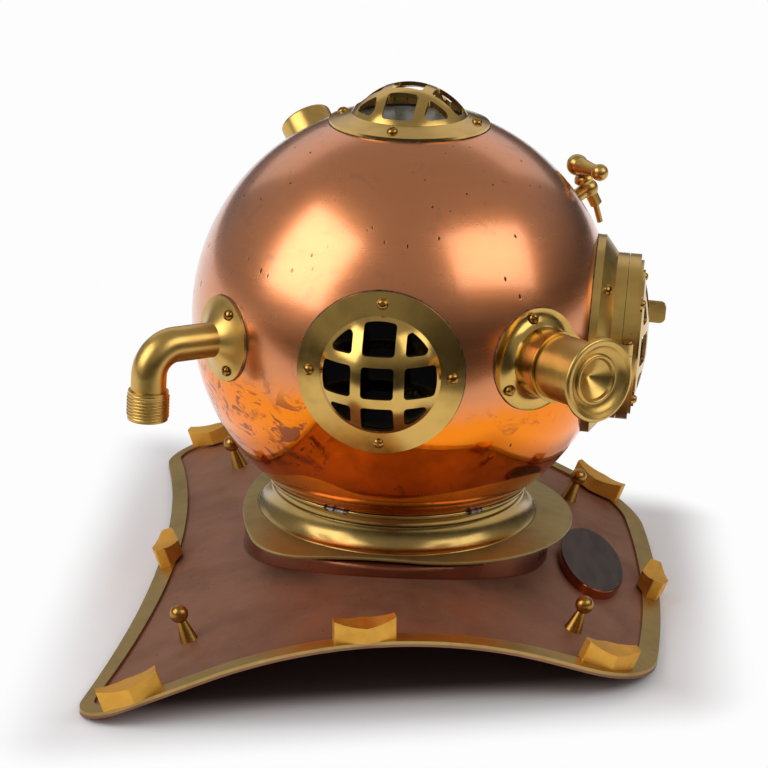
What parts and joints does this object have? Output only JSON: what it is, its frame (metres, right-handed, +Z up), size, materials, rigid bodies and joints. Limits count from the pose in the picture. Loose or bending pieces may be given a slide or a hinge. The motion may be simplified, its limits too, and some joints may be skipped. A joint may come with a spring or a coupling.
{
  "type": "copper diving helmet",
  "caption": "Closed copper diving helmet: a round bonnet with guarded windows, a hinged face port, an exhaust valve, an air elbow and a spitcock, on an arched corselet with a brass collar",
  "frame": {"origin": "on the surface that the corselet's four corners stand on, under the middle of the whole helmet's bounding box", "axes": "+Z up along the neck axis, -Y the way the diver looks (the face port), -X the diver's right hand (the exhaust valve)"},
  "size_m": [0.5286, 0.401, 0.3802],
  "materials": {
    "spun_copper": "satin polished spun copper, tarnished brownish rose",
    "hammered_copper": "dull dark brown sheet copper",
    "cast_brass": "satin aged cast brass",
    "screw_brass": "aged brass screw heads, dark in the slots",
    "spring_bronze": "drawn bronze wire",
    "glass": "thick clear plate glass",
    "rubber": "dark oiled leather or rubber packing"
  },
  "bodies": {
    "corselet": {"corselet_plate": "hammered_copper", "corselet_edge_band": "cast_brass", "corselet_edge_lugs": "cast_brass", "corselet_lashing_studs": "cast_brass", "corselet_front_boss": "cast_brass", "neck_collar": "cast_brass"},
    "neck_gasket": {"neck_gasket": "rubber"},
    "bonnet": {"bonnet_shell": "spun_copper", "bonnet_neck_ring": "cast_brass", "right_window_guard": "cast_brass", "right_window_glass": "glass", "right_window_gasket": "rubber", "right_window_retaining_ring": "cast_brass", "right_window_screws": "screw_brass", "left_window_guard": "cast_brass", "left_window_glass": "glass", "left_window_gasket": "rubber", "left_window_retaining_ring": "cast_brass", "left_window_screws": "screw_brass", "top_window_guard": "cast_brass", "top_window_glass": "glass", "top_window_gasket": "rubber", "top_window_retaining_ring": "cast_brass", "top_window_screws": "screw_brass", "face_port_frame": "cast_brass", "face_port_screws": "screw_brass", "face_port_seal": "rubber", "face_hinge_pin": "cast_brass", "exhaust_valve_body": "cast_brass", "exhaust_valve_screws": "screw_brass", "exhaust_valve_spring": "spring_bronze", "air_elbow": "cast_brass", "air_elbow_screws": "screw_brass", "cable_inlet": "cast_brass", "spitcock_body": "cast_brass", "spitcock_packing_nut": "cast_brass"},
    "face_door": {"face_door": "cast_brass", "face_door_gasket": "rubber", "face_door_glass": "glass", "face_door_ring": "cast_brass", "face_door_guard": "cast_brass", "face_door_screws": "screw_brass"},
    "thumb_screw": {"face_thumb_screw": "cast_brass"},
    "exhaust_cap": {"exhaust_valve_cap": "cast_brass"},
    "exhaust_valve": {"exhaust_valve_disc": "cast_brass"},
    "spitcock_handle": {"spitcock_handle": "cast_brass"}
  },
  "joints": [
    {"name": "bonnet_lift", "type": "slide", "parent": "corselet", "child": "neck_gasket", "axis": [0, 0, 1], "range_m": [0, 0.15]},
    {"name": "bonnet_turn", "type": "hinge", "parent": "neck_gasket", "child": "bonnet", "pos_m": [0, 0.00185, 0.21125], "axis": [0, 0, 1], "range_deg": [0, 45]},
    {"name": "face_door_hinge", "type": "hinge", "parent": "bonnet", "child": "face_door", "pos_m": [-0.07523, -0.15525, 0.20562], "axis": [0.0021, 0.0348, -0.9994], "range_deg": [0, 90]},
    {"name": "thumb_screw_turn", "type": "hinge", "parent": "face_door", "child": "thumb_screw", "pos_m": [0.05651, -0.16681, 0.2055], "axis": [-0.061, -0.9975, -0.0349], "range_deg": [-180, 180]},
    {"name": "exhaust_cap_turn", "type": "hinge", "parent": "bonnet", "child": "exhaust_cap", "pos_m": [-0.15026, -0.12201, 0.22146], "axis": [-0.7706, -0.6352, 0.0523], "range_deg": [-180, 180]},
    {"name": "exhaust_valve_lift", "type": "slide", "parent": "bonnet", "child": "exhaust_valve", "axis": [-0.7706, -0.6352, 0.0523], "range_m": [0, 0.005], "stiffness_N_per_m": 600, "springref_m": -0.005, "deforming": ["exhaust_valve_spring"]},
    {"name": "spitcock_handle_turn", "type": "hinge", "parent": "bonnet", "child": "spitcock_handle", "pos_m": [0.06638, -0.12843, 0.29398], "axis": [-0.2236, 0.4388, 0.8704], "range_deg": [0, 90]}
  ]
}
